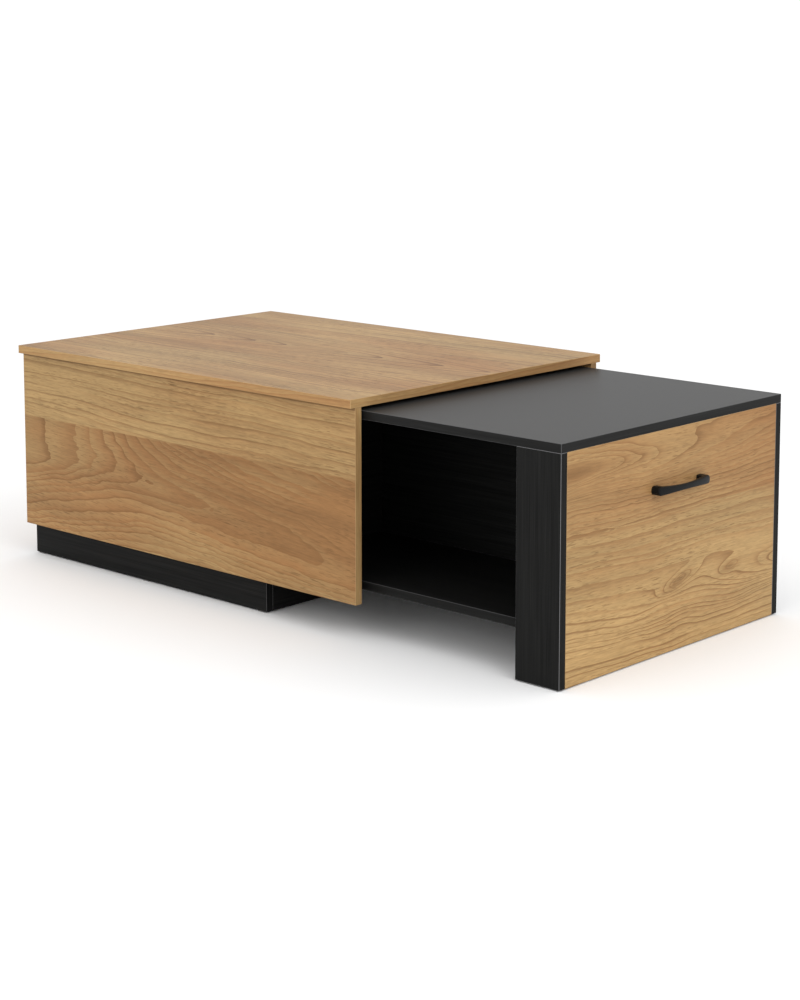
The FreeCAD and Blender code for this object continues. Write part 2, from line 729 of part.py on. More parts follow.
def make_rollers():
    """A roller behind each upright, on the slide's outer end."""
    fork, axle = make_fork_pattern(), make_axle_pattern()
    for side, sign in SIDES:
        wall = mirrored("slide_in", sign)
        hub = {"x": "roller_place", "y": mirrored("slide_in - fork_depth / 2", sign),
               "z": "roller_radius"}
        turn = facing(Vector(0, -sign, 0))
        wheel = make_wheel(side)
        place(wheel, hub["x"], hub["y"], hub["z"], turn)
        SINGLES.append(wheel)
        add_copy("roller_axles", axle, hub, turn)
        add_copy("roller_forks", fork, {"x": "roller_place", "y": wall, "z": "0"},
                 FreeCAD.Rotation(Vector(0, 0, 1), 0 if sign < 0 else 180))
        screws("fork_screws", "slide_%s_upright" % side, "y", sign, wall, "fork_wall",
               [{"x": "roller_place + " + mirrored("fork_screw_place", hand),
                 "z": "fork_height + fork_flange / 2"} for hand in (-1, 1)])


# ---------------------------------------------------------------- nodes

PATTERNS = {}
SINGLES = []


def group_copies():
    """Each group of like pieces becomes one node of separate solids."""
    for label, links in GROUPS.items():
        group = doc.addObject("Part::Compound", label)
        group.Label = label
        group.Links = links
        SINGLES.append(group)


def check_model():
    """Stops the build if a feature failed, a shape is faulty or a cut removed nothing."""
    for item in doc.Objects:
        if "Invalid" in item.State or "Error" in item.State:
            raise RuntimeError("%s did not build: %s" % (item.Label, item.State))
        if item.isDerivedFrom("PartDesign::Pocket"):
            if item.BaseFeature.Shape.Volume - item.Shape.Volume < 0.1:
                raise RuntimeError("%s cuts nothing" % item.Label)


def export_nodes():
    """Writes one STEP file for each node."""
    os.makedirs("parts", exist_ok=True)
    for node in [entry["body"] for entry in BOARDS.values()] + SINGLES:
        if node.Shape.isNull() or not node.Shape.isValid():
            raise RuntimeError("%s has no valid shape" % node.Label)
        node.Shape.exportStep("parts/%s.step" % node.Label)


def main():
    fill_sheet()
    make_cover_boards()
    make_plinth_boards()
    make_slide_boards()
    PATTERNS["biscuit"] = make_biscuit_pattern()
    PATTERNS["screw"] = make_screw_pattern()
    join_cover()
    join_plinth()
    join_slide()
    make_glides()
    make_guides()
    make_stops()
    make_handle()
    make_handle_screws()
    make_rollers()
    group_copies()
    doc.recompute()
    check_model()
    export_nodes()


main()
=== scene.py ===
from math import radians

import bpy
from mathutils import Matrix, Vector


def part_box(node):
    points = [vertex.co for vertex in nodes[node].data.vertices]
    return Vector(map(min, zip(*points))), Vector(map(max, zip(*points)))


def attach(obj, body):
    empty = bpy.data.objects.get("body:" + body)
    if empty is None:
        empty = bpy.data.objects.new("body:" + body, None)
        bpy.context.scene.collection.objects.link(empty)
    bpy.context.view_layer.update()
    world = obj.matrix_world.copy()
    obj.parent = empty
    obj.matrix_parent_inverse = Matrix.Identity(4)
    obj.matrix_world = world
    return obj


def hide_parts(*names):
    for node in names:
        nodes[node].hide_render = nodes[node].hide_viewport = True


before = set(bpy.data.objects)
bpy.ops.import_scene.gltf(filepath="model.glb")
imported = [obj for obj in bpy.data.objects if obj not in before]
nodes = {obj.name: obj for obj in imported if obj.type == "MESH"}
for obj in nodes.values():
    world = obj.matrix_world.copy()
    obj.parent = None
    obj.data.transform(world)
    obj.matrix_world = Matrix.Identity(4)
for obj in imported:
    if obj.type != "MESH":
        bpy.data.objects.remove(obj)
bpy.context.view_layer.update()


# ------------------------------------------------------------------------ the camera
# It stands in front of the pulled-out end, a little above the table, and looks down on
# both oak faces. The small shift keeps the upright edges near to parallel.

EYE_PLACE = (2.8111, -3.0068, 1.0924)
EYE_DIP_DEGREES = 7.40
EYE_TURN_DEGREES = 42.81
EYE_LENS = 77.605
EYE_SHIFT = -0.2

eye = bpy.data.objects.new("eye", bpy.data.cameras.new("eye"))
bpy.context.scene.collection.objects.link(eye)
eye.location = EYE_PLACE
eye.rotation_euler = (radians(90 - EYE_DIP_DEGREES), 0, radians(EYE_TURN_DEGREES))
eye.data.lens = EYE_LENS
eye.data.shift_y = EYE_SHIFT
bpy.context.scene.camera = eye


# ------------------------------------------------------------ the room and its light
# A white studio: one pale seamless floor, an even white surround, a wide soft lamp high
# on the right that lifts the end face and the tops, and a low weak one in front.

FLOOR_REACH = 60.0
FLOOR_SIDES = 96
FLOOR_WHITE = (0.96, 0.96, 0.96, 1)
FLOOR_ROUGHNESS = 0.95
SURROUND_WHITE = (1, 1, 1, 1)
SURROUND_LIGHT = 1.05
SURROUND_SEEN = 1.2
LAMPS = {"key": ((4.2, -1.2, 3.4), 60.0), "fill": ((0.5, -4.0, 0.8), 35.0)}
LAMP_SIDE = 3.0


def feed(socket, value):
    """Links another node's output to a socket, or sets the socket's own value."""
    if isinstance(value, bpy.types.NodeSocket):
        socket.id_data.links.new(value, socket)
    else:
        socket.default_value = value


def add_node(tree, kind, inputs=None, **settings):
    """Adds a shader node with its settings and inputs, which go by name or number."""
    node = tree.nodes.new("ShaderNode" + kind)
    for name, value in settings.items():
        setattr(node, name, value)
    for name, value in (inputs or {}).items():
        feed(node.inputs[name], value)
    return node


def new_finish(name, roughness, **shader):
    """A material and its shader, with what is the same all over set on the shader."""
    finish = bpy.data.materials.new(name)
    finish.use_nodes = True
    surface = finish.node_tree.nodes["Principled BSDF"]
    surface.inputs["Roughness"].default_value = roughness
    for socket, value in shader.items():
        surface.inputs[socket.replace("_", " ")].default_value = value
    return finish, finish.node_tree, surface


bpy.ops.object.select_all(action="DESELECT")
bpy.ops.mesh.primitive_circle_add(vertices=FLOOR_SIDES, radius=FLOOR_REACH,
                                  fill_type="NGON")
floor = bpy.context.object
floor.name = "studio_floor"
floor_white, _, surface = new_finish("studio_floor", FLOOR_ROUGHNESS,
                                     Specular_IOR_Level=0.0)
surface.inputs["Base Color"].default_value = FLOOR_WHITE
floor.data.materials.append(floor_white)

world = bpy.data.worlds.new("studio")
world.use_nodes = True
bpy.context.scene.world = world
backdrop = world.node_tree.nodes["Background"]
backdrop.inputs["Color"].default_value = SURROUND_WHITE
seen = add_node(world.node_tree, "LightPath").outputs["Is Camera Ray"]
strength = add_node(world.node_tree, "MapRange", {
    "Value": seen, "To Min": SURROUND_LIGHT, "To Max": SURROUND_SEEN})
feed(backdrop.inputs["Strength"], strength.outputs["Result"])

for name, (place, power) in LAMPS.items():
    lamp = bpy.data.objects.new(name, bpy.data.lights.new(name, "AREA"))
    bpy.context.scene.collection.objects.link(lamp)
    lamp.location = place
    lamp.rotation_euler = (-Vector(place)).to_track_quat("-Z", "Y").to_euler()
    lamp.data.size = LAMP_SIDE
    lamp.data.energy = power

bpy.context.scene.view_settings.view_transform = "Standard"


# ------------------------------------------------------------ the cover's oak boards
# The box that stays: particle board in printed oak, with a band of the same oak on each
# edge. Each board is cut from another place of the print, so each has its own figure.

# The print's colours, with a painted highlight for arrises and one dark colour for pores
# and painted shade, its shine, and how deep its relief is.
OAK_YELLOW = (0.380, 0.244, 0.104, 1)
OAK_RED = (0.296, 0.149, 0.056, 1)
OAK_LINE = (0.150, 0.068, 0.022, 1)
OAK_PORE_AND_SHADE = (0.120, 0.056, 0.018, 1)
OAK_ARRIS_HIGHLIGHT = (0.450, 0.290, 0.140, 1)
OAK_ROUGHNESS = 0.48
OAK_GLOSS = 0.14
OAK_RELIEF = 0.25
FIBRE_RELIEF = 0.3
RELIEF_DEPTH = 0.0002

# How many waves, streaks or dashes a metre of the print holds, along and across.
SLOW_WAVES = (2.6, 9.0)
QUICK_WAVES = (13.0, 34.0)
RAGGED_WAVES = (17.0, 36.0)
RING_WAVES = (0.0, 17.0)
LINE_STREAKS = (3.0, 60.0)
LONG_FIBRES = (11.0, 330.0)
SHORT_FIBRES = (48.0, 420.0)
SMALL_PORES = (45.0, 400.0)
LARGE_PORES = (21.0, 250.0)
PORE_PATCHES = (5.0, 16.0)
PORE_HAIRS = (26.0, 2000.0)
TONE_BANDS = (1.6, 20.0)
RED_CLOUDS = (2.0, 6.0)

# How far each of them shifts the lines or changes the colour.
SLOW_SWAY = 0.040
QUICK_SWAY = 0.007
CALM_SHARE = 0.3
RING_SHIFT = 5.0
RING_RED = 0.3
LINE_DEPTH = 0.58
PORE_DEPTH = 0.72
TONE_DEPTH = 0.42
FIBRE_DEPTH = 0.40
OAK_LEVEL = 1.08
# How much painted highlight the arrises take, or painted shade where they face down.
ARRIS_PAINTED_LIGHT = 0.6

# Smooth steps: from, to, the value before and the value after, or else 0 and 1.
LINE_IN_RING = (0.66, 1.0)
PORES_IN_RING = (0.30, 0.85, 1.0, 0.4)
BOLD_LINES = (0.37, 0.58, 0.12, 1.0)
PORES_IN_PATCH = (0.34, 0.62, 0.35, 1.0)
PORES_IN_HAIR = (0.40, 0.58, 0.25, 1.0)
FAINT_PORES = (0.0, 1.0, 0.25, 1.0)
CLOUD_RED = (0.35, 0.70, -0.3, 0.4)

RINGS_PER_METRE = 70.0
PEAK_ROUNDING = 0.022
ARCH_FADING = 0.12
SMALL_PORE = 0.34
LARGE_PORE = 0.28
PORE_EDGE = 0.25
PLANK_BLUR = 0.003
EDGE_PRINT = 0.71
EDGE_CONTRAST = 0.4
# A band of painted shade under the top's overhang: full within the first depth below the
# top's underside, gone at the second.
OVERHANG_PAINTED_SHADE = (0.0038, 0.0062)
OVERHANG_SHADE_DEPTH = 0.65
UNDER_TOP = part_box("cover_top")[0].z

AXES = {"x": 0, "y": 1, "z": 2}
FACE_ON = 0.8
FACE_DOWN = -0.3
NOISE_MIDDLE = 0.5


def maths(tree, operation, *values, clamp=False):
    """One sum on the numbers that it is given."""
    inputs = dict(enumerate(values))
    return add_node(tree, "Math", inputs, operation=operation, use_clamp=clamp).outputs[0]


def ramp(tree, value, low, high, out_low=0.0, out_high=1.0):
    """A smooth step from one value to another."""
    return add_node(tree, "MapRange", {"Value": value, "From Min": low, "From Max": high,
                                       "To Min": out_low, "To Max": out_high},
                    interpolation_type="SMOOTHSTEP").outputs["Result"]


def either(tree, switch, first, second):
    """The first value where the switch is 0 and the second where it is 1."""
    return add_node(tree, "Mix", {0: switch, 2: first, 3: second}).outputs[0]


def blend_colours(tree, share, first, second):
    """Goes from the first colour to the second as share goes from 0 to 1."""
    return add_node(tree, "Mix", {0: share, 6: first, 7: second},
                    data_type="RGBA").outputs[2]


def shaded(tree, colour, level):
    """A colour made lighter or darker by a number."""
    grey = add_node(tree, "CombineColor", {0: level, 1: level, 2: level}).outputs[0]
    return add_node(tree, "Mix", {0: 1.0, 6: colour, 7: grey}, data_type="RGBA",
                    blend_type="MULTIPLY").outputs[2]


def emboss(tree, surface, strength, height):
    """Gives a surface a shallow relief."""
    bump = add_node(tree, "Bump", {"Strength": strength, "Distance": RELIEF_DEPTH,
                                   "Height": height})
    feed(surface.inputs["Normal"], bump.outputs["Normal"])


def squeezed(tree, along, across, seed, per_metre):
    """A place on the print, at a scale that puts so many waves or dashes in a metre."""
    return add_node(tree, "CombineXYZ", {0: maths(tree, "MULTIPLY", along, per_metre[0]),
                                         1: maths(tree, "MULTIPLY", across, per_metre[1]),
                                         2: seed}).outputs[0]


def streaks(tree, along, across, seed, per_metre, detail=2.0):
    """Noise drawn out along the grain."""
    place = squeezed(tree, along, across, seed, per_metre)
    return add_node(tree, "TexNoise", {"Vector": place, "Scale": 1.0,
                                       "Detail": detail}).outputs["Fac"]


def sway(tree, along, across, seed, per_metre, detail=2.0):
    """Such noise to both sides of zero."""
    noise = streaks(tree, along, across, seed, per_metre, detail)
    return maths(tree, "SUBTRACT", noise, NOISE_MIDDLE)


def pore_ticks(tree, along, across, seed, per_metre, size):
    """Short dashes along the grain, one to a cell, some of them faint."""
    place = squeezed(tree, along, across, seed, per_metre)
    cells = add_node(tree, "TexVoronoi", {"Vector": place, "Scale": 1.0}).outputs
    depth = add_node(tree, "SeparateColor", {0: cells["Color"]}).outputs[0]
    tick = ramp(tree, cells["Distance"], size * (1 + PORE_EDGE), size * (1 - PORE_EDGE))
    return maths(tree, "MULTIPLY", tick, ramp(tree, depth, *FAINT_PORES))


def swell(tree, along, across, centre, reach, tilt=0.0):
    """A soft round hill, 1 at its centre, drawn out along the grain by its reach."""
    far = maths(tree, "SUBTRACT", along, centre[0])
    aside = maths(tree, "SUBTRACT", across, centre[1])
    aside = maths(tree, "MULTIPLY_ADD", far, -tilt, aside)
    far = maths(tree, "DIVIDE", far, reach[0])
    aside = maths(tree, "DIVIDE", aside, reach[1])
    square = maths(tree, "MULTIPLY_ADD", aside, aside, maths(tree, "MULTIPLY", far, far))
    return maths(tree, "EXPONENT", maths(tree, "MULTIPLY", square, -1.0))


def board_surface(tree, grain, cross):
    """Where a point is along and across the grain of a board, also on its banded edges,
    whether it is on such an edge, on an arris, and on one that faces down."""
    thick = ({"x", "y", "z"} - {grain, cross}).pop()
    place = add_node(tree, "TexCoord")
    points = add_node(tree, "SeparateXYZ", {0: place.outputs["Object"]}).outputs
    normal = add_node(tree, "SeparateXYZ", {0: place.outputs["Normal"]}).outputs
    facing = {axis: maths(tree, "ABSOLUTE", normal[AXES[axis]]) for axis in AXES}
    on_end = maths(tree, "GREATER_THAN", facing[grain], FACE_ON)
    on_side = maths(tree, "GREATER_THAN", facing[cross], FACE_ON)
    on_edge = maths(tree, "MAXIMUM", on_end, on_side)
    along = either(tree, on_end, points[AXES[grain]], points[AXES[cross]])
    band = maths(tree, "ADD", points[AXES[thick]], EDGE_PRINT)
    across = either(tree, on_edge, points[AXES[cross]], band)
    flattest = maths(tree, "MAXIMUM", facing["x"],
                     maths(tree, "MAXIMUM", facing["y"], facing["z"]))
    arris = maths(tree, "LESS_THAN", flattest, FACE_ON)
    below = maths(tree, "MULTIPLY", arris, maths(tree, "LESS_THAN", normal["Z"], FACE_DOWN))
    return along, across, on_edge, arris, below


def plank_figure(tree, along, across, calm, seed, red, slope, warm=0.0, light=1.0,
                 lines=1.0, fade=None, fibres=1.0, bands=1.0, ragged=0.0, peak=None,
                 steep=None, spent=None, arches=(), knots=()):
    """What sets one plank of the print apart: how red and how light it is, how strong its
    ring lines, fibres and bands of tone are, and how the lines run and how ragged they
    are. Red, light and lines may be a smooth step across the grain. Along it, warm adds
    red, and fade is a smooth step in the strength of the lines.

    A peak is ((where it begins, its middle), the middle's tilt, its taper). It folds the
    lines along the middle, so that they nest as pointed arches. They stand steep above
    the middle where steep, a smooth step along the grain, makes that side count for
    less, and from where they are spent the lines run on straight, along the tilt.
    Arches and knots, (centre, reach, height), push the lines aside by their height; a
    knot is dark in the middle, and has a tilt.
    """
    run = maths(tree, "MULTIPLY_ADD", along, slope, calm)
    field = across
    core = 0.0
    lines, light, red = (ramp(tree, across, *value) if isinstance(value, tuple) else value
                         for value in (lines, light, red))
    red = maths(tree, "MULTIPLY_ADD", along, warm, red)
    if fade:
        lines = maths(tree, "MULTIPLY", ramp(tree, along, *fade), lines)
    if peak:
        (begin, middle), tilt, taper = peak
        nose = along
        past = maths(tree, "SUBTRACT", along, begin)
        if spent:
            nose = maths(tree, "SMOOTH_MIN", along, spent, ARCH_FADING)
            past = maths(tree, "SMOOTH_MAX", past, 0.0, ARCH_FADING)
        beside = maths(tree, "SUBTRACT", maths(tree, "SUBTRACT", across, middle),
                       maths(tree, "MULTIPLY", past, tilt))
        if steep:
            above = maths(tree, "MULTIPLY", beside, ramp(tree, along, *steep))
            beside = maths(tree, "MAXIMUM", above, maths(tree, "MULTIPLY", beside, -1.0))
        square = maths(tree, "MULTIPLY_ADD", beside, beside, PEAK_ROUNDING ** 2)
        field = maths(tree, "MULTIPLY_ADD", nose, taper, maths(tree, "SQRT", square))
    field = maths(tree, "MULTIPLY_ADD", along, slope, field)
    for centre, reach, height in arches:
        hill = swell(tree, along, across, centre, reach)
        field = maths(tree, "MULTIPLY_ADD", hill, height, field)
    for centre, reach, height, tilt in knots:
        hill = swell(tree, along, across, centre, reach, tilt)
        field = maths(tree, "MULTIPLY_ADD", hill, height, field)
        core = maths(tree, "MAXIMUM", core, maths(tree, "POWER", hill, 2.0))
    if ragged:
        torn = sway(tree, along, across, seed, RAGGED_WAVES)
        field = maths(tree, "MULTIPLY_ADD", torn, ragged, field)
    return {"seed": seed, "red": red, "run": run, "field": field, "core": core,
            "lines": lines, "fibres": fibres, "bands": bands, "light": light}


def joined_planks(tree, along, across, planks):
    """The figure at a point of a board. Planks go by where they start across the grain."""
    seed = planks[0][1]["seed"]
    slow = sway(tree, along, across, seed, SLOW_WAVES, 1.0)
    quick = sway(tree, along, across, seed, QUICK_WAVES, 1.0)
    wavy = maths(tree, "MULTIPLY_ADD", slow, SLOW_SWAY, across)
    wavy = maths(tree, "MULTIPLY_ADD", quick, QUICK_SWAY, wavy)
    calm = maths(tree, "MULTIPLY_ADD", maths(tree, "SUBTRACT", wavy, across), CALM_SHARE,
                 across)
    figure = None
    for start, plank in planks:
        here = plank_figure(tree, along, wavy, calm, **plank)
        if figure:
            beyond = maths(tree, "GREATER_THAN", across, start)
            fading = ramp(tree, across, start - PLANK_BLUR, start + PLANK_BLUR)
            here = {part: either(tree, fading if part == "red" else beyond, figure[part],
                                 here[part]) for part in here}
        figure = here
    return figure


def oak_rings(tree, along, figure):
    """How far a point is through its yearly ring, and the dark line that ends the ring."""
    seed, field = figure["seed"], figure["field"]
    uneven = streaks(tree, 0.0, field, seed, RING_WAVES)
    rings = maths(tree, "MULTIPLY", field, RINGS_PER_METRE)
    age = maths(tree, "FRACT", maths(tree, "MULTIPLY_ADD", uneven, RING_SHIFT, rings))
    bold = ramp(tree, streaks(tree, along, field, seed, LINE_STREAKS), *BOLD_LINES)
    return age, maths(tree, "MULTIPLY", ramp(tree, age, *LINE_IN_RING), bold)


def oak_pores(tree, along, across, figure, age):
    """Short dark dashes, in patches and thinned to hairs, fewer late in the ring."""
    seed, run = figure["seed"], figure["run"]
    pores = maths(tree, "MAXIMUM",
                  pore_ticks(tree, along, run, seed, SMALL_PORES, SMALL_PORE),
                  pore_ticks(tree, along, run, seed, LARGE_PORES, LARGE_PORE))
    early = ramp(tree, age, *PORES_IN_RING)
    patchy = ramp(tree, streaks(tree, along, across, seed, PORE_PATCHES), *PORES_IN_PATCH)
    hairs = ramp(tree, streaks(tree, along, run, seed, PORE_HAIRS), *PORES_IN_HAIR)
    pores = maths(tree, "MULTIPLY", maths(tree, "MULTIPLY", pores, early), patchy)
    return maths(tree, "MULTIPLY", pores, hairs)


def oak_finish(name, grain, cross, planks, contrast=1.0, joint=None):
    """Printed oak: ring lines, short dark pores along the grain, fine fibres and slow
    changes of tone, other on each plank. A joint is the height at which a board shuts
    against the one above; a band of painted shade just below it stands in for the shadow
    of the overhang. Arrises get a painted highlight, and painted shade where they face
    down."""
    finish, tree, surface = new_finish(name, OAK_ROUGHNESS, Specular_IOR_Level=OAK_GLOSS)
    along, across, on_edge, arris, below = board_surface(tree, grain, cross)
    strength = ramp(tree, on_edge, 0.0, 1.0, contrast, EDGE_CONTRAST)
    figure = joined_planks(tree, along, across, planks)
    seed, run = figure["seed"], figure["run"]
    age, line = oak_rings(tree, along, figure)
    line = maths(tree, "MULTIPLY", line, figure["lines"])
    line = maths(tree, "ADD", line, figure["core"], clamp=True)
    line = maths(tree, "MULTIPLY", line, strength)
    pores = oak_pores(tree, along, across, figure, age)
    pores = maths(tree, "MULTIPLY", pores, strength)
    fibres = maths(tree, "ADD", streaks(tree, along, run, seed, LONG_FIBRES),
                   streaks(tree, along, run, seed, SHORT_FIBRES))

    clouds = ramp(tree, streaks(tree, along, across, seed, RED_CLOUDS), *CLOUD_RED)
    ringed = maths(tree, "MULTIPLY", ramp(tree, age, 0.0, 1.0), figure["bands"])
    share = maths(tree, "ADD", clouds, figure["red"])
    share = maths(tree, "MULTIPLY_ADD", ringed, RING_RED, share, clamp=True)
    colour = blend_colours(tree, share, OAK_YELLOW, OAK_RED)
    line = maths(tree, "MULTIPLY", line, LINE_DEPTH)
    colour = blend_colours(tree, line, colour, OAK_LINE)
    dark = maths(tree, "MULTIPLY", pores, PORE_DEPTH)
    colour = blend_colours(tree, dark, colour, OAK_PORE_AND_SHADE)

    tones = maths(tree, "MULTIPLY", sway(tree, along, run, seed, TONE_BANDS), strength)
    tones = maths(tree, "MULTIPLY", tones, figure["bands"])
    level = maths(tree, "MULTIPLY_ADD", tones, TONE_DEPTH, OAK_LEVEL)
    hair = maths(tree, "SUBTRACT", fibres, 2 * NOISE_MIDDLE)
    hair = maths(tree, "MULTIPLY", hair, figure["fibres"])
    level = maths(tree, "MULTIPLY_ADD", hair, FIBRE_DEPTH, level)
    colour = shaded(tree, colour, maths(tree, "MULTIPLY", level, figure["light"]))
    # Painted shade: the strip of a board just under the top's overhang is darkened toward
    # the pore colour, standing in for the overhang's shadow.
    if joint:
        overhang_shade_share = ramp(tree, across, joint - OVERHANG_PAINTED_SHADE[1], joint - OVERHANG_PAINTED_SHADE[0], 0.0,
                    OVERHANG_SHADE_DEPTH)
        colour = blend_colours(tree, overhang_shade_share, colour, OAK_PORE_AND_SHADE)
    # Painted highlight and shade on arrises: lighter where they face up or out, darker
    # where they face down.
    painted_arris = blend_colours(tree, below, OAK_ARRIS_HIGHLIGHT, OAK_PORE_AND_SHADE)
    colour = blend_colours(tree, maths(tree, "MULTIPLY", arris, ARRIS_PAINTED_LIGHT), colour, painted_arris)
    feed(surface.inputs["Base Color"], colour)
    fibres = maths(tree, "MULTIPLY", fibres, FIBRE_RELIEF)
    emboss(tree, surface, OAK_RELIEF, maths(tree, "MULTIPLY_ADD", pores, -1.0, fibres))
    return finish


def put_on(finish, *names):
    """Gives the named pieces of the frame one finish."""
    for name in names:
        nodes[name].data.materials.clear()
        nodes[name].data.materials.append(finish)


put_on(oak_finish("oak_top", "x", "y", [
    (-0.36, dict(seed=3.1, red=0.25, slope=0.04)),
    (-0.12, dict(seed=9.6, red=0.40, slope=0.02, peak=((-0.30, 0.02), 0.03, 0.08))),
    (0.14, dict(seed=5.8, red=0.25, slope=-0.03)),
], contrast=1.7), "cover_top")
# The front, rear and left boards get the painted shade under the top's overhang.
put_on(oak_finish("oak_front", "x", "z", [
    (0.0, dict(seed=11.7, red=(0.09, 0.28, 0.33, 0.77), warm=0.35, slope=0.06,
               light=(0.08, 0.29, 0.88, 0.80), fade=(-0.42, -0.20, 0.95, 0.6), bands=1.6,
               ragged=0.012, peak=((-0.36, 0.216), -0.15, 0.11),
               steep=(-0.52, -0.22, 0.12, 0.9), spent=-0.36)),
    (0.293, dict(seed=15.4, red=-0.10, warm=-0.15, slope=0.03, light=0.87, lines=0.9,
                 fibres=1.3)),
], joint=UNDER_TOP), "cover_front_panel")
put_on(oak_finish("oak_rear", "x", "z", [
    (0.0, dict(seed=21.9, red=0.55, slope=-0.04, ragged=0.008,
               peak=((0.0, 0.15), 0.04, -0.07))),
    (0.24, dict(seed=27.1, red=0.20, slope=-0.07)),
], joint=UNDER_TOP), "cover_rear_panel")
put_on(oak_finish("oak_left", "y", "z", [
    (0.0, dict(seed=31.3, red=0.30, slope=0.05)),
    (0.21, dict(seed=36.4, red=0.60, slope=0.03, ragged=0.008,
                peak=((0.0, 0.32), -0.03, 0.09))),
], joint=UNDER_TOP), "cover_left_end")


# ------------------------------------------------- the black boards of cover and slide
# Particle board in black laminate with a finely pressed wood grain: the plinth frame,
# the cover's floor, and all of the slide but its oak end.

BLACK_DEEP = (0.006, 0.006, 0.0058, 1)
BLACK_FIBRE = (0.015, 0.015, 0.0145, 1)
# The arrises' colour: a painted highlight together with the paler core that shows where the
# laminate is cut.
BLACK_ARRIS_CORE_AND_HIGHLIGHT = (0.160, 0.160, 0.165, 1)
# The colour of the painted sheen that stands in for the reflection on the faces.
BLACK_PAINTED_SHEEN = (0.045, 0.045, 0.044, 1)
BLACK_ROUGHNESS = 0.40
BLACK_RELIEF = 0.35
FINE_GRAIN = (9.0, 900.0)
FINE_STEP = (0.35, 0.75)
FINE_SHARE = 0.6
BROAD_GRAIN = (3.0, 160.0)
BROAD_STEP = (0.3, 0.7)
BROAD_SHARE = 0.4
BROAD_SEED = 5.0


def black_finish(name, grain, cross, seed, gloss=0.05, painted_arris=0.4, painted_face_sheen=0.0):
    """Black laminate with a pressed grain that runs with the board, faces painted paler
    than the edges as a painted sheen, and arrises painted lighter: a painted highlight
    together with the paler core that shows where the laminate is cut."""
    finish, tree, surface = new_finish(name, BLACK_ROUGHNESS, Specular_IOR_Level=gloss)
    along, across, on_edge, arris, _ = board_surface(tree, grain, cross)
    fine = streaks(tree, along, across, seed, FINE_GRAIN)
    broad = streaks(tree, along, across, seed + BROAD_SEED, BROAD_GRAIN)
    broad = maths(tree, "MULTIPLY", ramp(tree, broad, *BROAD_STEP), BROAD_SHARE)
    share = maths(tree, "MULTIPLY_ADD", ramp(tree, fine, *FINE_STEP), FINE_SHARE, broad)
    colour = blend_colours(tree, share, BLACK_DEEP, BLACK_FIBRE)
    # Painted sheen: faces, not edges, are made paler, standing in for the reflection of the
    # white surround.
    sheen_share = maths(tree, "MULTIPLY_ADD", on_edge, -painted_face_sheen, painted_face_sheen)
    colour = blend_colours(tree, sheen_share, colour, BLACK_PAINTED_SHEEN)
    # Arrises painted lighter: a painted highlight, with the paler cut core.
    colour = blend_colours(tree, maths(tree, "MULTIPLY", arris, painted_arris), colour, BLACK_ARRIS_CORE_AND_HIGHLIGHT)
    feed(surface.inputs["Base Color"], colour)
    emboss(tree, surface, BLACK_RELIEF, fine)
    return finish


# The slide's top takes the painted sheen on its faces.
put_on(black_finish("black_slide_top", "x", "y", seed=1.7, gloss=0.09, painted_face_sheen=0.6),
       "slide_top")
put_on(black_finish("black_flat_boards", "x", "y", seed=2.6), "slide_shelf",
       "cover_floor")
put_on(black_finish("black_long_boards", "x", "z", seed=4.3), "plinth_front",
       "plinth_rear", "slide_partition")
put_on(black_finish("black_cross_boards", "y", "z", seed=6.1), "plinth_left_cross",
       "plinth_middle_cross", "plinth_right_cross", "slide_inner_end")
# The uprights' arrises take the full painted highlight.
put_on(black_finish("black_uprights", "z", "x", seed=8.9, painted_arris=1.0),
       "slide_front_upright", "slide_rear_upright")


# --------------------------------------------------------------- the slide's oak end
# The board that carries the handle and comes down to the floor, set between the black
# uprights. Its grain lies level: a reddish plank with a pointed figure above, and below
# it a paler one, calm at the top, with knots and close wavy lines.

put_on(oak_finish("oak_end", "y", "z", [
    (0.0, dict(seed=41.2, red=(0.08, 0.20, -0.28, 0.0), warm=1.0, slope=0.02,
               light=(0.06, 0.19, 1.06, 0.94), lines=(0.10, 0.17, 1.7, 0.45), fibres=1.2,
               bands=1.5, ragged=0.005,
               arches=[((0.40, 0.100), (0.21, 0.035), 0.075),
                       ((0.05, 0.105), (0.60, 0.055), 0.035),
                       ((-0.14, 0.080), (0.08, 0.030), 0.012),
                       ((0.02, 0.060), (0.05, 0.030), -0.012),
                       ((0.20, 0.065), (0.07, 0.030), 0.014)],
               knots=[((0.008, 0.124), (0.050, 0.013), 0.045, 0.2),
                      ((0.165, 0.116), (0.034, 0.009), 0.024, 0.1)])),
    (0.250, dict(seed=48.6, red=0.47, warm=1.5, slope=0.01, light=0.96, ragged=0.008,
                 arches=[((-0.40, 0.348), (0.50, 0.048), 0.13)])),
]), "slide_end_panel")


# --------------------------------------------------------------------- the bow handle
# One zinc casting in matt black: two feet screwed from inside, and between them a bow that
# stands out for the fingers and narrows to a waist. Its ends and rims are rounded.

HANDLE_SPAN, HANDLE_FOOT, HANDLE_STAND = 0.150, 0.018, 0.017
HANDLE_RISE, HANDLE_GAUGE = 0.007, 0.007
HANDLE_HEIGHT, HANDLE_WAIST = 0.016, 0.010
HANDLE_END_RADIUS, HANDLE_RIM = 0.0068, 0.0024
BOW_STEPS, END_STEPS, RIM_STEPS = 7, 6, 4
SHARP_DEGREES, SMOOTH_DEGREES = 40, 35
FACES_WALL = -0.9

foot_low, foot_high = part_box("handle")
wall, level = foot_low.x, (foot_low.z + foot_high.z) / 2
half_span, half_bow = HANDLE_SPAN / 2, HANDLE_SPAN / 2 - HANDLE_FOOT
straight = half_span - HANDLE_END_RADIUS


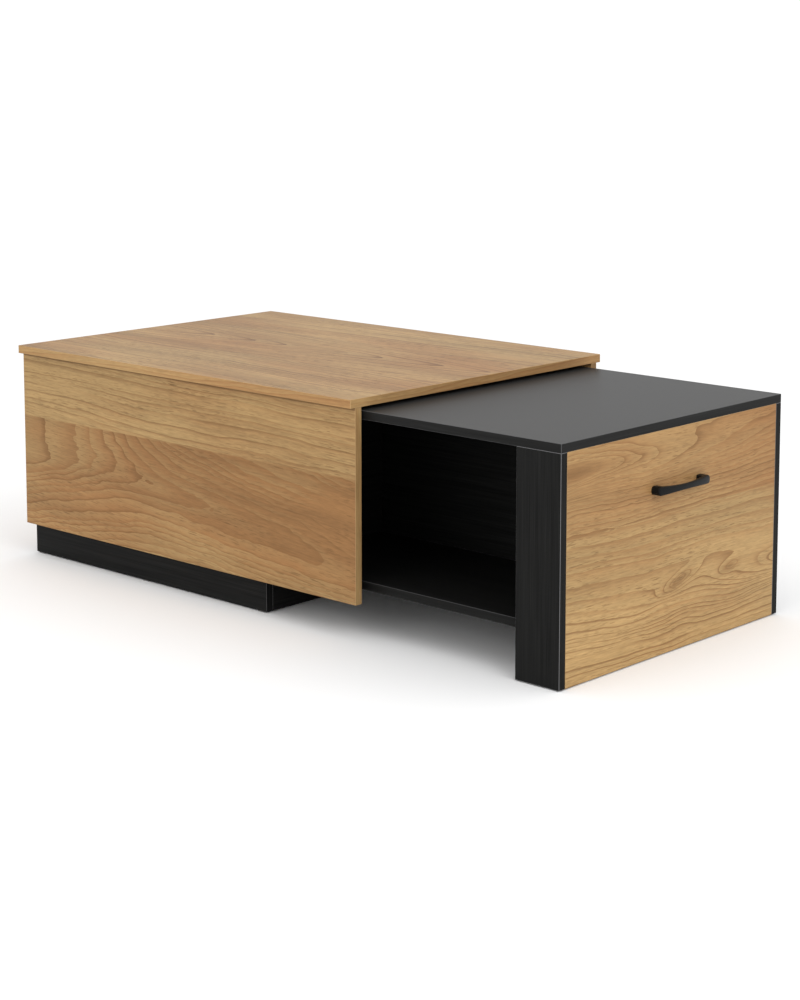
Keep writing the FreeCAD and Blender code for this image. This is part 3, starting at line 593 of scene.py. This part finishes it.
def select_parts(piece, kind, wanted):
    """Selects the faces or the edges that pass a test, and goes back to shaping them."""
    bpy.ops.mesh.select_mode(type=kind)
    bpy.ops.mesh.select_all(action="DESELECT")
    bpy.ops.object.mode_set(mode="OBJECT")
    for part in piece.data.polygons if kind == "FACE" else piece.data.edges:
        part.select = wanted(part)
    bpy.ops.object.mode_set(mode="EDIT")


def behind_a_foot(face):
    """Whether a face of the bar looks at the wall and lies where a foot goes."""
    return face.normal.x < FACES_WALL and abs(face.center.y) > half_bow


def at_an_end(edge):
    """Whether an edge of the handle runs outwards along one of its outer corners."""
    first, second = (handle.data.vertices[index].co for index in edge.vertices)
    level_edge = abs(first.z - second.z) < HANDLE_RIM
    return level_edge and min(abs(first.y), abs(second.y)) > half_span - HANDLE_RIM


def on_a_rim(edge):
    """Whether an edge of the handle is sharp, and isn't on the wall."""
    reach = max(handle.data.vertices[index].co.x for index in edge.vertices)
    return edge.index in sharp and reach > wall + HANDLE_RIM


bpy.ops.object.select_all(action="DESELECT")
bpy.ops.mesh.primitive_cube_add(
    size=1, location=(wall + HANDLE_STAND - HANDLE_GAUGE / 2, 0, level),
    scale=(HANDLE_GAUGE, HANDLE_SPAN, HANDLE_HEIGHT))
handle = bpy.context.object
handle.name = "bow_handle"
bpy.ops.object.transform_apply(location=True, rotation=True, scale=True)
stations = [half_bow * step / BOW_STEPS for step in range(1, BOW_STEPS + 1)]
bpy.ops.object.mode_set(mode="EDIT")
for station in [0.0] + stations + [-station for station in stations]:
    bpy.ops.mesh.select_all(action="SELECT")
    bpy.ops.mesh.bisect(plane_co=(0, station, 0), plane_no=(0, 1, 0))
select_parts(handle, "FACE", behind_a_foot)
bpy.ops.mesh.extrude_region_move(
    TRANSFORM_OT_translate={"value": (HANDLE_GAUGE - HANDLE_STAND, 0, 0)})
bpy.ops.object.mode_set(mode="OBJECT")
for vertex in handle.data.vertices:
    place, depth = abs(vertex.co.y), vertex.co.x - wall
    if depth > HANDLE_STAND - HANDLE_GAUGE / 2:
        vertex.co.x += HANDLE_RISE * (1 - (place / half_span) ** 2)
    elif depth > HANDLE_GAUGE / 2 and place < half_bow:
        vertex.co.x += HANDLE_RISE * (1 - (place / half_bow) ** 2)
    side = 1 if vertex.co.z > level else -1
    share = min(1.0, place / straight) ** 2
    height = HANDLE_WAIST + (HANDLE_HEIGHT - HANDLE_WAIST) * share
    vertex.co.z = level + side * height / 2
bpy.ops.object.mode_set(mode="EDIT")
select_parts(handle, "EDGE", at_an_end)
bpy.ops.mesh.bevel(offset=HANDLE_END_RADIUS, segments=END_STEPS, affect="EDGES",
                   clamp_overlap=True)
bpy.ops.mesh.select_all(action="DESELECT")
bpy.ops.mesh.edges_select_sharp(sharpness=radians(SHARP_DEGREES))
bpy.ops.object.mode_set(mode="OBJECT")
sharp = {edge.index for edge in handle.data.edges if edge.select}
bpy.ops.object.mode_set(mode="EDIT")
select_parts(handle, "EDGE", on_a_rim)
bpy.ops.mesh.bevel(offset=HANDLE_RIM, segments=RIM_STEPS, affect="EDGES",
                   clamp_overlap=True)
bpy.ops.object.mode_set(mode="OBJECT")
bpy.ops.object.shade_smooth_by_angle(angle=radians(SMOOTH_DEGREES))
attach(handle, "slide")
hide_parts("handle")


# --------------------------------------------------------------- paint and fittings
# Matt black paint, zinc-plated screws and axles, moulded nylon wheels, runners and
# forks, beech biscuits and blocks, felt glides and rubber bumpers.

SPECK_DETAIL = 3.0
SPECK_STEP = (0.3, 0.7)


def plain_finish(name, colour, roughness, specks, mottle, relief, **shader):
    """A finish with fine even specks, so many to a metre, mottled and in relief."""
    finish, tree, surface = new_finish(name, roughness, **shader)
    place = add_node(tree, "TexCoord").outputs["Object"]
    speckle = add_node(tree, "TexNoise", {"Vector": place, "Scale": specks,
                                          "Detail": SPECK_DETAIL}).outputs["Fac"]
    level = ramp(tree, speckle, *SPECK_STEP, 1 - mottle, 1 + mottle)
    feed(surface.inputs["Base Color"], shaded(tree, (*colour, 1), level))
    emboss(tree, surface, relief, speckle)
    return finish


black_paint = plain_finish("matt_black_paint", (0.007, 0.007, 0.0072), roughness=0.38,
                           specks=900, mottle=0.15, relief=0.15, Specular_IOR_Level=0.09)
handle.data.materials.append(black_paint)
put_on(black_paint, "handle")
put_on(plain_finish("zinc_plate", (0.62, 0.62, 0.60), roughness=0.34, specks=500,
                    mottle=0.08, relief=0.1, Metallic=1.0),
       "handle_screws", "fork_screws", "roller_axles")
put_on(plain_finish("beech", (0.58, 0.40, 0.24), roughness=0.6, specks=260,
                    mottle=0.12, relief=0.3),
       "cover_biscuits", "plinth_biscuits", "slide_biscuits", "plinth_glue_blocks")
put_on(plain_finish("black_stain", (0.020, 0.018, 0.017), roughness=0.6, specks=260,
                    mottle=0.2, relief=0.3),
       "travel_stops", "slide_catches")
put_on(plain_finish("grey_rubber", (0.06, 0.06, 0.06), roughness=0.75, specks=700,
                    mottle=0.12, relief=0.3),
       "closing_bumpers")
put_on(plain_finish("grey_felt", (0.12, 0.115, 0.11), roughness=0.95, specks=1600,
                    mottle=0.35, relief=0.9),
       "plinth_glides")
put_on(plain_finish("pale_nylon", (0.62, 0.60, 0.56), roughness=0.45, specks=300,
                    mottle=0.04, relief=0.1),
       "roller_wheel_front", "roller_wheel_rear", "slide_runners", "cover_guide_pads",
       "slide_guide_pads")
put_on(plain_finish("black_nylon", (0.018, 0.018, 0.018), roughness=0.5, specks=500,
                    mottle=0.15, relief=0.2),
       "roller_forks")
